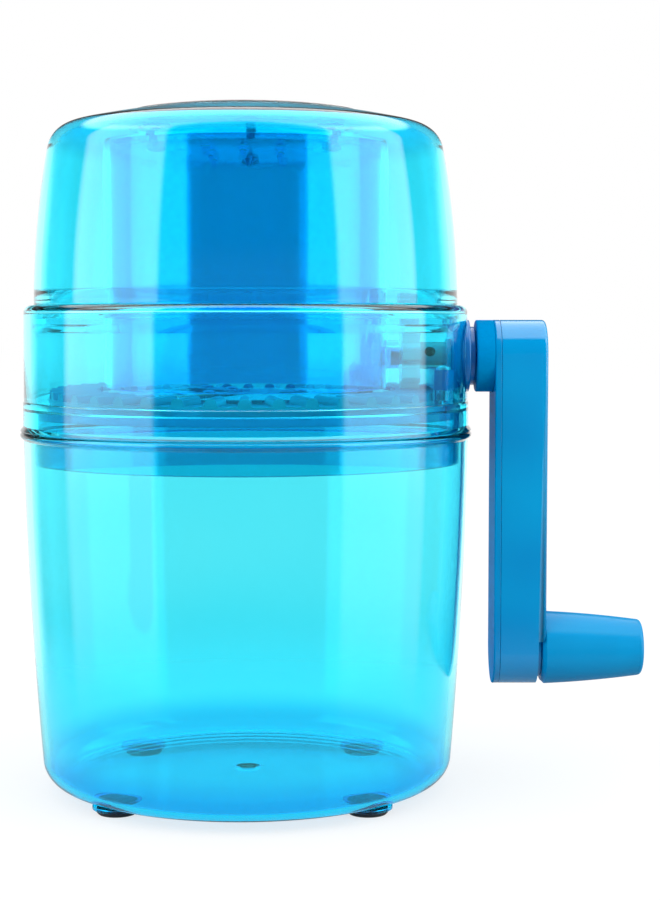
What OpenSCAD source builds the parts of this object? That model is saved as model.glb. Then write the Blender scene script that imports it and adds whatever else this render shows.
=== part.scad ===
// Hand-cranked ice crusher: a clear container under a gear housing, with a lift-off lid and a side crank.
// +Z is up, +X points along the crank axis, and the origin is on the container's axis at table level.

/* [Ice chamber] */
// Outer radius of the chamber and of the lid's sleeve
chamber_r = 43.5; // [40:0.1:50]
// Wall thickness of the chamber and of the sleeve
chamber_wall = 2; // [1.6:0.1:2.4]
// Height of the chamber's bottom edge above the gear floor
chamber_lift = 3.3; // [3:0.1:3.6]
// How far the chamber stands above the housing's top edge
chamber_top = 2.7; // [2.4:0.1:5]
// Thickness of the sloping deck
deck_t = 1.5; // [1.2:0.1:1.7]

/* [Container] */
// How much narrower the container is above its bottom corner than at its rim
cup_taper = 4.9; // [3:0.1:8]
// How far the wall bulges past a straight taper
cup_bulge = 0.85; // [0:0.05:1.2]
// Radius of the bottom corner
cup_corner_r = 7.5; // [5:0.5:9]
// Wall thickness
cup_wall = 1.9; // [1.5:0.1:2.4]
// Floor thickness
cup_floor = 2.4; // [2:0.1:3]
// Height of the underside above the table
cup_base_z = 2.6; // [2.2:0.1:3.4]
// Height of the flat rim that carries the housing
cup_top_z = 110.8; // [90:0.2:130]
// Radius of the rounded rim bead
rim_bead_r = 1.1; // [0.9:0.1:1.4]

/* [Feet] */
// Radius of a rubber pad
foot_r = 6; // [4.5:0.1:7]
// Wall of the moulded boss round a pad
foot_boss_wall = 1.3; // [1:0.1:2]
// How far the boss stands out under the floor
foot_boss_h = 1.2; // [0.8:0.1:1.6]
// Depth of the pad's seat in the boss
foot_seat_h = 0.5; // [0.3:0.1:0.7]

/* [Housing] */
// Wall thickness at the bottom
hood_wall = 2.3; // [1.8:0.1:3]
// How much the wall leans in towards its top
hood_lean = 0.4; // [0:0.1:1]
// Height of wall above the bush's flange
hood_over = 3.5; // [3:0.1:8]
// Radius of the rounded top shoulder
hood_shoulder_r = 2.3; // [1.5:0.1:2.6]
// Height of the gear floor's top face above the container's rim
floor_h = 8.7; // [7:0.1:12]
// Thickness of the gear floor
floor_t = 2; // [1.6:0.1:2.2]
// Wall thickness of the skirt that hangs inside the container
skirt_wall = 1.7; // [1.4:0.1:2]
// Room between the skirt and the container
skirt_gap = 0.7; // [0.4:0.1:1.2]
// How far the skirt reaches down inside the container
skirt_drop = 9.5; // [6:0.5:16]

/* [Gears] */
// Teeth on the crown gear
crown_teeth = 40; // [40:1:40]
// Teeth on the pinion
pinion_teeth = 9; // [9:1:9]
// Turn of the crown gear at rest, in degrees
mesh_phase = 2; // [0:0.5:9]
// Thickness of the crown gear's web
web_t = 3; // [2.6:0.1:3.4]
// Height of the web's top face above the gear floor
web_rise = 0.65; // [0.4:0.05:1]
// Width of the pinion's teeth along the shaft
pinion_w = 5.5; // [4.5:0.1:6.5]
// Radius of the pinion's long sleeve
sleeve_r = 4.5; // [4.2:0.1:5]
// Width of the bracket under the sleeve
bridge_w = 5.5; // [4.5:0.1:6.5]

/* [Blades] */
// Number of blades and ice slots
blade_count = 3; // [2:1:3]
// Thickness of the steel disc
disc_t = 1; // [0.8:0.1:1.1]
// Thickness of a blade
blade_t = 0.8; // [0.6:0.1:0.9]
// Width of the slot ahead of each blade
slot_w = 8; // [6:0.5:9]

/* [Crank] */
// Distance from the crank axis to the knob axis
crank_throw = 90.7; // [70:0.1:100]
// Half the width of the arm, and the radius of its round ends
arm_r = 11.1; // [10:0.1:12.5]
// Thickness of the arm along the crank axis, with its cover
arm_t = 16.1; // [14:0.1:18]
// Thickness of the arm's cover plate
cover_t = 2; // [1.6:0.05:2.4]
// Wall thickness of the arm's shell
arm_wall = 2; // [1.6:0.1:2.4]
// Radius of the steel shaft
shaft_r = 3; // [2.6:0.1:3.4]
// Radius of the bush in the housing's wall
bush_r = 11.2; // [10:0.1:12.4]
// Radius of the bush's neck outside the wall
neck_r = 9; // [8:0.1:10]
// Length of the knob
knob_l = 32; // [26:0.2:40]
// Radius of the knob next to the arm
knob_big_r = 11.3; // [10:0.1:12.5]
// Radius of the knob's free end
knob_end_r = 8.45; // [7.5:0.05:9.5]
// Radius of the knob's steel spindle
spindle_r = 3; // [2.5:0.1:3.4]

/* [Lid] */
// How far the lid's foot rests on the housing's top edge
lid_seat_w = 1.7; // [1.4:0.1:2.2]
// Height of the lid's wall, from its foot to its rounded corner
lid_side_h = 47.5; // [44:0.5:54]
// Radius of the lid's rounded corner
lid_corner_r = 8.9; // [8:0.1:11]
// Radius of the gently domed top
lid_top_r = 235; // [200:5:300]
// Wall thickness of the lid
lid_wall = 2; // [1.8:0.1:2.4]
// Outer radius of the fine raised ring on top
lid_ring_r = 36; // [30:0.5:38]
// Width of the ring
lid_ring_w = 3; // [2:0.1:4]
// Height of the ring
lid_ring_h = 0.3; // [0.2:0.1:0.6]

/* [Ice grip] */
// Thickness of the plate that presses on the ice
grip_t = 2; // [1.6:0.1:2.6]
// Length of its claws
claw_h = 3; // [2.5:0.5:4]
// Distance of its screws from its edge
grip_screw_inset = 10.5; // [9:0.5:12]

/* [Clearances] */
// Radial running clearance of a shaft in its bore
run_gap = 0.05; // [0.03:0.01:0.08]
// Gap between pieces that turn past each other
free_gap = 0.3; // [0.25:0.05:0.4]
// Gap under the rotor where it rides on its ring
ride_gap = 0.2; // [0.15:0.05:0.25]

/* [Hidden] */

$fn = 96;
steps = 12;                // straight steps along a gently curved wall
corner_steps = 10;         // steps round a moulded corner
past = 1;                  // how far a cutter runs past the face that it cuts

clear_blue = [0.10, 0.78, 0.93, 0.45];
deep_blue = [0.00, 0.47, 0.80, 0.75];
steel = [0.75, 0.76, 0.78];

// Along the crank axis, from the chamber out to the housing's wall
fork_l = 3.4;              // forked boss for the shaft's inner end
fork_wall = 2.2;
pinion_gap = 0.6;
bridge_gap = 2.5;
sleeve_tail = 0.6;
washer_t = 1;
washer_gap = 0.1;
bush_flange_t = 1.7;
pad_t = 1.4;               // depth of the flat pad in the curved wall
shaft_x0 = chamber_r + 3 * free_gap;
pinion_x0 = chamber_r + fork_l + pinion_gap;
bridge_x0 = pinion_x0 + pinion_w + bridge_gap;
bridge_x1 = bridge_x0 + bridge_w;
sleeve_x1 = bridge_x1 + sleeve_tail;
bush_x0 = sleeve_x1 + washer_t + 3 * washer_gap;
pad_x0 = bush_x0 + bush_flange_t;
hood_in_r = pad_x0 + pad_t;
hood_low_r = hood_in_r + hood_wall;
hood_top_r = hood_low_r - hood_lean;

// Housing and container, from the wall inwards
mouth_w = 2.9;             // how far the top edge reaches in over the wall's inner face
mouth_h = 1.8;
hood_mouth_r = hood_in_r - mouth_w;
cup_step = 0.1;
cup_top_r = hood_low_r - cup_step;
cup_low_r = cup_top_r - cup_taper;
skirt_r = cup_top_r - cup_wall - skirt_gap;
skirt_in_r = skirt_r - skirt_wall;
crown_room = 3.3;          // room for the retainer ring's rim beside the crown gear
crown_r = skirt_in_r - crown_room;
rim_centre_z = cup_top_z - rim_bead_r;
cup_wall_z0 = cup_base_z + cup_corner_r;
cup_flat_r = cup_low_r - cup_corner_r;
foot_inset = 3.8;          // how far a foot's centre lies inside the flat floor's edge
foot_circle_r = cup_flat_r - foot_inset;
foot_boss_r = foot_r + foot_boss_wall;
foot_h = cup_base_z - foot_boss_h + foot_seat_h;
gate_r = 2.6;              // shallow dimple that the moulding gate leaves
gate_h = 0.4;

// Gears: the module follows from the crown's pitch circle, and the axis height from the pinion's
mesh_r = pinion_x0 + pinion_w / 2;
gear_m = 2 * mesh_r / crown_teeth;
pinion_pitch_r = gear_m * pinion_teeth / 2;
crown_add = 0.15 * gear_m;
crown_ded = 0.81 * gear_m;
floor_z = cup_top_z + floor_h;
web_z1 = floor_z + web_rise;
web_z0 = web_z1 - web_t;
pitch_z = web_z1 + crown_ded;
crown_tip_z = pitch_z + crown_add;
axis_z = pitch_z + pinion_pitch_r;
pinion_add = 0.58 * gear_m;
pinion_ded = 0.85 * gear_m;
pinion_tip_r = pinion_pitch_r + pinion_add;
pinion_root_r = pinion_pitch_r - pinion_ded;
pinion_turn = mesh_phase * crown_teeth / pinion_teeth;
crown_tooth_w = 0.36 * PI * gear_m;
pinion_tooth_w = 0.40 * PI * gear_m;
flank = 0.30;              // slope of the flanks, sideways per unit of height
tooth_round_r = 0.9;
teeth_gap = 2.5;           // room between the chamber and the ring of teeth
crown_teeth_in_r = chamber_r + teeth_gap;
tooth_end_step = 0.2;

// Bush
bush_flange_w = 0.8;
bush_flange_r = bush_r + bush_flange_w;
bush_proud = 0.2;
bush_x1 = hood_low_r + bush_proud;
neck_l = 1.6;
neck_x1 = bush_x1 + neck_l;
pad_rim_w = 1.2;

// Housing heights
hood_z0 = cup_top_z;
hood_z1 = axis_z + bush_flange_r + hood_over;
floor_hole_r = crown_r + 2 * ride_gap;
lip_w = 0.9;               // thin flared lip over the container's bead
lip_r = hood_low_r + lip_w;
lip_h = 0.8;
step_w = 0.2;              // fine step in the wall at the gear floor
ledge_w = 1.6;             // ledge that carries the deck
ledge_h = 1.6;
ledge_drop = 4.2;          // how far the ledge lies below the top edge
ledge_z = hood_z1 - ledge_drop;

// Bosses and bridge that carry the pinion's sleeve
post_r = 2.6;
post_circle_r = floor_hole_r + post_r;
bridge_under = 1.2;        // clearance of the bridge over the crown's teeth
cradle_h = 0.8;            // how deep the sleeve lies in the bridge
bridge_z0 = crown_tip_z + bridge_under;
bridge_z1 = axis_z - sleeve_r + cradle_h;
bracket_screw_r = 1.1;
bracket_head_r = 1.9;
bracket_head_h = 1.2;
post_floor = 0.8;          // solid bottom of the hole in each post
post_a = acos((bridge_x0 + bridge_x1) / 2 / post_circle_r);

// Ice chamber
chamber_in_r = chamber_r - chamber_wall;
chamber_z0 = floor_z + chamber_lift;
chamber_z1 = hood_z1 + chamber_top;
deck_gap = 0.7;            // room between the deck's edge and the housing's mouth
deck_rim_w = 1.4;          // flat rim of the deck that rests on the ledge
deck_drop = 0.6;           // how far the deck meets the chamber below its top
deck_r = hood_mouth_r - deck_gap;
deck_flat_r = deck_r - deck_rim_w;
deck_z = ledge_z + deck_t;
fork_r = shaft_r + fork_wall;

// Ring under the rotor
ring_z1 = web_z0 - ride_gap;
ring_t = 2.1;
ring_w = 6.6;              // how far the crown gear rides on the ring
ring_in_r = crown_r - ring_w;
ring_rim_w = 2.2;
snap_r = 0.5;              // bead that snaps into a groove in the skirt
ring_r = skirt_in_r - run_gap * 2;

// Blade disc, blades and slots
disc_w = 1.3;              // how far the disc reaches past the chamber's wall
disc_r = chamber_r + disc_w;
disc_z1 = web_z1 + disc_t;
slot_r0 = 10;
blade_inset = 0.5;         // how much shorter a blade is than its slot at each end
blade_gap = 3;             // room between a blade's end and the chamber
blade_r0 = slot_r0 + blade_inset;
blade_l = chamber_in_r - blade_gap - blade_r0;
slot_l = blade_l + 2 * blade_inset;
blade_lift_a = 14;         // how steeply the cutting edge is bent up
blade_flat_w = 7;
blade_edge_w = 3.4;
blade_screw_r = 1.2;
blade_head_r = 2;
blade_head_h = 0.9;
blade_screw_inset = 6;
blade_screw_end = 0.6;     // solid web under a blade screw

// Shaft and crank
hub_l = 5.5;               // length of the hub behind the arm
hub_x0 = neck_x1 + free_gap;
arm_x0 = hub_x0 + hub_l;
cover_x1 = arm_x0 + cover_t;
cover_rib_h = 1.4;         // rib on the cover that locates it inside the arm
arm_x1 = arm_x0 + arm_t;
shaft_end_gap = 0.6;       // the screw pulls the arm on, so the shaft stops short
shaft_x1 = cover_x1 - shaft_end_gap;
flat_depth = 0.7;          // flat that stops the shaft turning in the hub
flat_x0 = hub_x0 + shaft_end_gap;
knob_z = axis_z - crank_throw;
arm_edge_r = 2;            // rounding of the arm's outer edge
set_screw_r = 1.65;
set_screw_x = bridge_x0 + set_screw_r * 0.5;
set_screw_a = 19;          // how far above level the set screw points at rest
set_socket_r = 0.8;
set_socket_h = 0.5;
// The screw's flat end stays inside the sleeve's round face.
set_end_r = sqrt(sleeve_r ^ 2 - set_screw_r ^ 2) - run_gap;
crank_screw_r = 1.4;
crank_screw_l = 6;
crank_head_r = 3;
crank_head_h = 2;
drive_l = 3.4;             // cross recess in the crank screw's head
drive_w = 0.8;
recess_h = 2.4;            // round recess in the arm's face that the knob turns in
recess_x = arm_x1 - recess_h;
recess_r = knob_big_r + free_gap;
collar_r = 9.15;           // collar round the spindle's bore
collar_h = 1.1;
knob_x0 = recess_x + collar_h + free_gap;
knob_x1 = knob_x0 + knob_l;
knob_foot_l = 1.2;
knob_bulge = 1.6;          // how full the grip is between its ends, times four
knob_edge_r = 1.5;
knob_dome_h = 0.5;
knob_solid_l = 8;          // solid end of the knob past the spindle
spindle_in = knob_l - knob_solid_l;
spindle_x0 = cover_x1 + 3;
spindle_x1 = knob_x0 + spindle_in;
spindle_boss_r = spindle_r + 3;
clip_t = 1;
clip_r = 5;
clip_depth = 0.6;          // depth of the spindle's groove
clip_x0 = spindle_x0 + clip_t / 2;

// Lid: the wall curves gently inwards, a corner arc continues it, and the domed top ends tangent to that arc
lid_z0 = hood_z1;
lid_r = hood_mouth_r + lid_seat_w;
lid_slope = 0.011;         // lean of the wall at its foot
lid_side_r = 285;          // radius of the wall's curve
lid_skirt_r = hood_mouth_r - free_gap;
lid_skirt_drop = 2;
lid_skirt_w = 1.6;
lid_foot_h = 1.5;
corner_top_z = lid_z0 + lid_side_h;
corner_a = atan(lid_slope + lid_side_h / lid_side_r);
corner_r = lid_wall_r(corner_top_z) - lid_corner_r * cos(corner_a);
corner_z = corner_top_z - lid_corner_r * sin(corner_a);
dome_drop = sqrt((lid_top_r - lid_corner_r) ^ 2 - corner_r ^ 2);
dome_z = corner_z - dome_drop;
dome_a = atan2(dome_drop, corner_r);
boss_h = 6;                // bosses under the dome that carry the sleeve
boss_r = 4;
sleeve_gap = 0.2;
grip_gap = 1;              // room between the grip plate and the sleeve
grip_r = chamber_in_r - grip_gap;
grip_screw_circle_r = grip_r - grip_screw_inset;
sleeve_z0 = chamber_z1 + sleeve_gap;
sleeve_z1 = lid_top_z(grip_screw_circle_r, lid_wall) - boss_h;
grip_z1 = sleeve_z1 - chamber_wall;
claw_tip_r = 0.5;
claw_foot_r = 1.6;
claw_in = 8;               // from the circle of screws to the outer ring of claws
claw_step = 10;            // from the outer ring to the inner one
grip_screw_r = 1.3;
grip_head_r = 2.8;
grip_head_h = 1.4;
grip_screw_l = 7;

// A point at radius r and angle a, from a centre
function polar(c, r, a) = [c[0] + r * cos(a), c[1] + r * sin(a)];
// Points of an arc, from angle a0 to a1
function arc(c, r, a0, a1, n) = [for (i = [0 : n]) polar(c, r, a0 + (a1 - a0) * i / n)];

function backwards(list) = [for (i = [len(list) - 1 : -1 : 0]) list[i]];

// A bar along +X with its axis at height z
module along_x(x0, x1, r, z) {
    translate([x0, 0, z]) rotate([0, 90, 0]) cylinder(h = x1 - x0, r = r);
}

// A round screw that points down, with its head's underside at the origin
module screw_down(r, l, head_r, head_h) {
    translate([0, 0, -l]) cylinder(h = l, r = r, $fn = 32);
    rotate_extrude($fn = 32) polygon(concat([[0, 0], [head_r, 0]],
        [for (i = [0 : 5]) [head_r * cos(18 * i), head_h * (0.4 + 0.6 * sin(18 * i))]]));
}

// ---- Container ----

// Outer radius of the tapered wall at height z
function cup_r(z) = let (t = (z - cup_wall_z0) / (rim_centre_z - cup_wall_z0))
    cup_low_r + (cup_top_r - cup_low_r) * t + 4 * cup_bulge * t * (1 - t);
function cup_side(inset) = [for (i = [0 : steps])
    let (z = cup_wall_z0 + (rim_centre_z - cup_wall_z0) * i / steps) [cup_r(z) - inset, z]];

function foot_a(i) = 45 + 90 * i;
module at_feet() {
    for (i = [0 : 3]) rotate(foot_a(i)) translate([foot_circle_r, 0, 0]) children();
}

module container() {
    corner = [cup_flat_r, cup_wall_z0];
    color(clear_blue) difference() {
        union() {
            rotate_extrude(convexity = 6) polygon(concat(
                [[0, cup_base_z]], arc(corner, cup_corner_r, -90, 0, corner_steps), cup_side(0),
                arc([cup_top_r, rim_centre_z], rim_bead_r, 0, 90, 6),
                [[cup_top_r - cup_wall, cup_top_z]], backwards(cup_side(cup_wall)),
                arc(corner, cup_corner_r - cup_wall, 0, -80, corner_steps),
                [[0, cup_base_z + cup_floor]]));
            rotate_extrude() translate([cup_top_r, rim_centre_z]) intersection() {
                circle(r = rim_bead_r, $fn = 32);
                translate([-cup_wall / 2, -2 * rim_bead_r]) square(4 * rim_bead_r);
            }
            at_feet() translate([0, 0, cup_base_z - foot_boss_h])
                cylinder(h = foot_boss_h + past, r = foot_boss_r);
        }
        at_feet() translate([0, 0, cup_base_z - foot_boss_h - past])
            cylinder(h = foot_seat_h + past, r = foot_r + run_gap);
        translate([0, 0, cup_base_z + cup_floor - gate_h]) cylinder(h = past, r = gate_r);
    }
}

module rubber_feet() {
    chamfer = 0.5;
    color("black") at_feet() rotate_extrude($fn = 48)
        polygon([[0, 0], [foot_r - chamfer, 0], [foot_r, chamfer], [foot_r, foot_h], [0, foot_h]]);
}

// ---- Housing ----

module at_posts() {
    for (s = [-1, 1]) rotate(s * post_a) translate([post_circle_r, 0, 0]) children();
}

module housing_shell() {
    snap_z = ring_z1 - ring_t / 2;
    shoulder = [hood_top_r - hood_shoulder_r, hood_z1 - hood_shoulder_r];
    color(clear_blue) difference() {
        union() {
            rotate_extrude(convexity = 8) difference() {
                polygon(concat(
                    [[skirt_in_r, hood_z0 - skirt_drop], [skirt_r, hood_z0 - skirt_drop], [skirt_r, hood_z0],
                     [lip_r, hood_z0], [lip_r, hood_z0 + lip_h / 2], [hood_low_r, hood_z0 + 2 * lip_h],
                     [hood_low_r, floor_z], [hood_low_r - step_w, floor_z + step_w]],
                    arc(shoulder, hood_shoulder_r, 0, 90, 6),
                    [[hood_mouth_r, hood_z1], [hood_mouth_r, hood_z1 - mouth_h],
                     [hood_in_r, hood_z1 - mouth_h - 1], [hood_in_r, ledge_z],
                     [hood_mouth_r - ledge_w, ledge_z],
                     [hood_mouth_r - ledge_w, ledge_z - ledge_h], [hood_in_r, ledge_z - 2.5 * ledge_h],
                     [hood_in_r, floor_z], [floor_hole_r, floor_z], [floor_hole_r, floor_z - floor_t],
                     [skirt_in_r, floor_z - floor_t]]));
                translate([skirt_in_r, snap_z]) circle(r = snap_r + run_gap, $fn = 24);
            }
            // The bosses run into the wall behind them.
            intersection() {
                at_posts() translate([0, 0, floor_z - floor_t / 2])
                    cylinder(h = bridge_z0 - floor_z + floor_t / 2, r = post_r, $fn = 48);
                cylinder(h = hood_z1, r = hood_in_r + past);
            }
            // A flat pad lets the bush seat on the curved wall.
            intersection() {
                along_x(pad_x0, hood_low_r, bush_flange_r + pad_rim_w, axis_z);
                cylinder(h = hood_z1 - ledge_h, r = hood_in_r + past);
            }
        }
        along_x(pad_x0 - past, hood_low_r + past, bush_r + run_gap, axis_z);
        along_x(mesh_r, pad_x0, bush_flange_r + free_gap, axis_z);
        at_posts() translate([0, 0, floor_z + post_floor])
            cylinder(h = bridge_z1 - floor_z, r = bracket_screw_r + run_gap, $fn = 32);
    }
}

module ice_chamber() {
    deck_h = chamber_z1 - deck_drop;
    color(deep_blue) difference() {
        union() {
            rotate_extrude(convexity = 6) polygon([
                [chamber_in_r, chamber_z0], [chamber_r, chamber_z0], [chamber_r, deck_h - deck_t],
                [deck_flat_r, ledge_z], [deck_r, ledge_z], [deck_r, deck_z],
                [deck_flat_r, deck_z], [chamber_r, deck_h], [chamber_r, chamber_z1],
                [chamber_in_r, chamber_z1]]);
            along_x(chamber_r - chamber_wall / 2, chamber_r + fork_l, fork_r, axis_z);
        }
        // The fork is open downwards, so that the chamber drops over the fitted shaft.
        along_x(chamber_r + free_gap, chamber_r + fork_l + past, shaft_r + run_gap, axis_z);
        translate([chamber_r + free_gap, -shaft_r - run_gap, axis_z - fork_r - past])
            cube([fork_l + past, 2 * (shaft_r + run_gap), fork_r + past]);
    }
}

module retainer_ring() {
    color(clear_blue) rotate_extrude(convexity = 4) union() {
        translate([ring_in_r, ring_z1 - ring_t]) square([ring_r - ring_in_r, ring_t]);
        translate([ring_r - ring_rim_w, ring_z1 - ring_t])
            square([ring_rim_w, floor_z - floor_t - ring_z1 + ring_t]);
        translate([skirt_in_r, ring_z1 - ring_t / 2]) intersection() {
            circle(r = snap_r, $fn = 24);
            translate([-snap_r, -snap_r]) square(2 * snap_r);
        }
    }
}

module shaft_bush() {
    color(deep_blue) difference() {
        union() {
            along_x(bush_x0, pad_x0, bush_flange_r, axis_z);
            along_x(pad_x0, bush_x1, bush_r, axis_z);
            along_x(bush_x1, neck_x1, neck_r, axis_z);
        }
        along_x(bush_x0 - past, neck_x1 + past, shaft_r + run_gap, axis_z);
    }
}

module bearing_bracket() {
    span = 2 * post_circle_r * sin(post_a) + 2 * post_r;
    color(deep_blue) difference() {
        intersection() {
            union() {
                translate([bridge_x0, -span / 2 - past, bridge_z0])
                    cube([bridge_w, span + 2 * past, bridge_z1 - bridge_z0]);
                at_posts() translate([0, 0, bridge_z0])
                    cylinder(h = bridge_z1 - bridge_z0, r = post_r, $fn = 48);
            }
            cylinder(h = hood_z1, r = hood_in_r - free_gap);
        }
        along_x(bridge_x0 - past, bridge_x1 + past, sleeve_r + run_gap, axis_z);
        at_posts() cylinder(h = hood_z1, r = bracket_screw_r + run_gap, $fn = 32);
    }
}

module bracket_screws() {
    shank_l = bridge_z1 - floor_z - post_floor - free_gap;
    color(steel) at_posts() translate([0, 0, bridge_z1])
        screw_down(bracket_screw_r, shank_l, bracket_head_r, bracket_head_h);
}

// ---- Rotor ----

// Section of a crown tooth across its run, with a rounded crest
module crown_tooth() {
    low_w = crown_tooth_w + 2 * flank * crown_ded;
    high_w = crown_tooth_w - 2 * flank * (crown_add - tooth_round_r);
    top = crown_tip_z - web_z1;
    polygon(concat([[-low_w / 2, -past], [low_w / 2, -past], [low_w / 2, 0]],
        [for (i = [0 : 6]) [high_w / 2 * cos(30 * i), top - tooth_round_r * (1 - sin(30 * i))]],
        [[-low_w / 2, 0]]));
}

module at_blades() {
    for (i = [0 : blade_count - 1]) rotate(mesh_phase + 360 * i / blade_count) children();
}

// The slot that each blade's shavings fall through
module ice_slots() {
    at_blades() translate([slot_r0, 0, web_z0 - past]) cube([slot_l, slot_w, web_t + disc_t + 2 * past]);
}

module at_blade_screws() {
    at_blades() for (x = [blade_r0 + blade_screw_inset, blade_r0 + blade_l - blade_screw_inset])
        translate([x, -blade_flat_w / 2, 0]) children();
}

module crown_gear() {
    color(clear_blue) difference() {
        union() {
            translate([0, 0, web_z0]) cylinder(h = web_t, r = crown_r);
            for (i = [0 : crown_teeth - 1]) rotate(mesh_phase + 360 * i / crown_teeth)
                translate([crown_teeth_in_r, 0, web_z1]) rotate([90, 0, 90])
                    linear_extrude(height = crown_r - tooth_end_step - crown_teeth_in_r) crown_tooth();
        }
        ice_slots();
        at_blade_screws() translate([0, 0, web_z0 + blade_screw_end])
            cylinder(h = web_t, r = blade_screw_r + run_gap, $fn = 32);
    }
}

module blade_disc() {
    color(steel) difference() {
        translate([0, 0, web_z1]) cylinder(h = disc_t, r = disc_r);
        ice_slots();
        at_blade_screws() translate([0, 0, web_z1 - past])
            cylinder(h = disc_t + 2 * past, r = blade_screw_r + run_gap, $fn = 32);
    }
}

// Each blade is a flat strip whose ground edge is bent up over its slot.
module blades() {
    rise = blade_edge_w * sin(blade_lift_a);
    reach = blade_edge_w * cos(blade_lift_a);
    color(steel) difference() {
        at_blades() translate([blade_r0, 0, disc_z1]) rotate([90, 0, 90]) linear_extrude(height = blade_l)
            polygon([[-blade_flat_w, 0], [0, 0], [reach, rise], [reach - blade_t, rise + 0.1],
                     [-0.2, blade_t], [-blade_flat_w, blade_t]]);
        at_blade_screws() translate([0, 0, disc_z1 - past])
            cylinder(h = blade_t + 2 * past, r = blade_screw_r + run_gap, $fn = 32);
    }
}

module blade_screws() {
    shank_l = blade_t + disc_t + web_t - blade_screw_end - ride_gap;
    color(steel) at_blade_screws() translate([0, 0, disc_z1 + blade_t])
        screw_down(blade_screw_r, shank_l, blade_head_r, blade_head_h);
}

// ---- Crank ----

module crank_shaft() {
    color(steel) difference() {
        along_x(shaft_x0, shaft_x1, shaft_r, axis_z);
        // Flat for the hub of the arm's cover
        translate([flat_x0 - run_gap, -shaft_r, axis_z + shaft_r - flat_depth])
            cube([shaft_x1 - hub_x0, 2 * shaft_r, shaft_r]);
        along_x(shaft_x1 - crank_screw_l - past, shaft_x1 + past, crank_screw_r + run_gap, axis_z);
    }
}

module at_set_screw() {
    translate([set_screw_x, 0, axis_z]) rotate([90 - set_screw_a, 0, 0]) children();
}

module pinion_section() {
    low_w = pinion_tooth_w + 2 * flank * pinion_ded;
    high_w = pinion_tooth_w - 2 * flank * pinion_add;
    circle(r = pinion_root_r);
    intersection() {
        circle(r = pinion_tip_r);
        // A gap, not a tooth, points at the crown gear.
        for (i = [0 : pinion_teeth - 1]) rotate(180 / pinion_teeth + 360 * i / pinion_teeth)
            polygon([[pinion_root_r / 2, -low_w / 2], [pinion_root_r, -low_w / 2],
                     [pinion_tip_r + past / 2, -high_w / 2], [pinion_tip_r + past / 2, high_w / 2],
                     [pinion_root_r, low_w / 2], [pinion_root_r / 2, low_w / 2]]);
    }
}

module pinion() {
    color("white") difference() {
        union() {
            translate([pinion_x0, 0, axis_z]) rotate([pinion_turn, 0, 0]) rotate([0, 90, 0])
                linear_extrude(height = pinion_w) pinion_section();
            along_x(pinion_x0, sleeve_x1, sleeve_r, axis_z);
        }
        along_x(pinion_x0 - past, sleeve_x1 + past, shaft_r + run_gap, axis_z);
        at_set_screw() cylinder(h = sleeve_r + past, r = set_screw_r + run_gap, $fn = 32);
    }
}

module pinion_screw() {
    color("black") difference() {
        at_set_screw() translate([0, 0, shaft_r + run_gap])
            cylinder(h = set_end_r - shaft_r - run_gap, r = set_screw_r, $fn = 32);
        at_set_screw() translate([0, 0, set_end_r - set_socket_h])
            cylinder(h = past, r = set_socket_r, $fn = 6);
    }
}

module thrust_washer() {
    color("white") difference() {
        along_x(sleeve_x1 + washer_gap, sleeve_x1 + washer_gap + washer_t, sleeve_r + washer_t, axis_z);
        along_x(sleeve_x1, sleeve_x1 + 2 * washer_t, shaft_r + run_gap, axis_z);
    }
}

// The arm's long slot shape between x0 and x1, shrunk by an inset, with its far edge rounded by edge_r
module arm_plate(x0, x1, inset, edge_r = 0) {
    w = arm_r - inset;
    t = x1 - x0;
    side = concat([[w, 0]], arc([w - edge_r, t - edge_r], edge_r, 0, 90, edge_r > 0 ? 6 : 1));
    for (z = [axis_z, knob_z]) translate([x0, 0, z]) rotate([0, 90, 0])
        rotate_extrude() polygon(concat([[0, 0]], side, [[0, t]]));
    translate([x0, 0, knob_z]) linear_extrude(height = crank_throw)
        polygon(concat([for (p = side) [p[1], p[0]]], [for (p = backwards(side)) [p[1], -p[0]]]));
}

module arm_cover() {
    color(deep_blue) difference() {
        union() {
            arm_plate(arm_x0, cover_x1, 0);
            along_x(hub_x0, arm_x0, arm_r, axis_z);
            arm_plate(cover_x1, cover_x1 + cover_rib_h, arm_wall + 2 * run_gap);
        }
        arm_plate(cover_x1, cover_x1 + cover_rib_h + past, 2 * arm_wall);
        difference() {
            along_x(hub_x0 - past, shaft_x1 + washer_gap, shaft_r + run_gap, axis_z);
            translate([flat_x0, -shaft_r, axis_z + shaft_r - flat_depth + run_gap])
                cube([shaft_x1 - hub_x0, 2 * shaft_r, shaft_r]);
        }
        along_x(hub_x0, cover_x1 + past, crank_screw_r + 2 * run_gap, axis_z);
    }
}

module crank_arm() {
    wall_x = arm_x1 - arm_wall;
    color(deep_blue) difference() {
        union() {
            difference() {
                arm_plate(cover_x1, arm_x1, 0, arm_edge_r);
                along_x(recess_x, arm_x1 + past, recess_r, knob_z);
            }
            along_x(recess_x - arm_wall / 2, recess_x + collar_h, collar_r, knob_z);
        }
        difference() {
            arm_plate(cover_x1 - past, wall_x, arm_wall);
            along_x(spindle_x0 + 2 * clip_t - run_gap, arm_x1, spindle_boss_r, knob_z);
            along_x(recess_x - arm_wall, arm_x1, recess_r + arm_wall, knob_z);
        }
        along_x(cover_x1, arm_x1 + past, spindle_r + run_gap, knob_z);
    }
}

module crank_screw() {
    color(steel) difference() {
        union() {
            along_x(shaft_x1 - crank_screw_l, cover_x1, crank_screw_r, axis_z);
            along_x(cover_x1, cover_x1 + crank_head_h, crank_head_r, axis_z);
        }
        for (a = [0, 90]) translate([cover_x1 + crank_head_h, 0, axis_z]) rotate([a, 0, 0])
            cube([crank_head_h * 0.8, drive_w, drive_l], center = true);
    }
}

// ---- Knob ----

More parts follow.
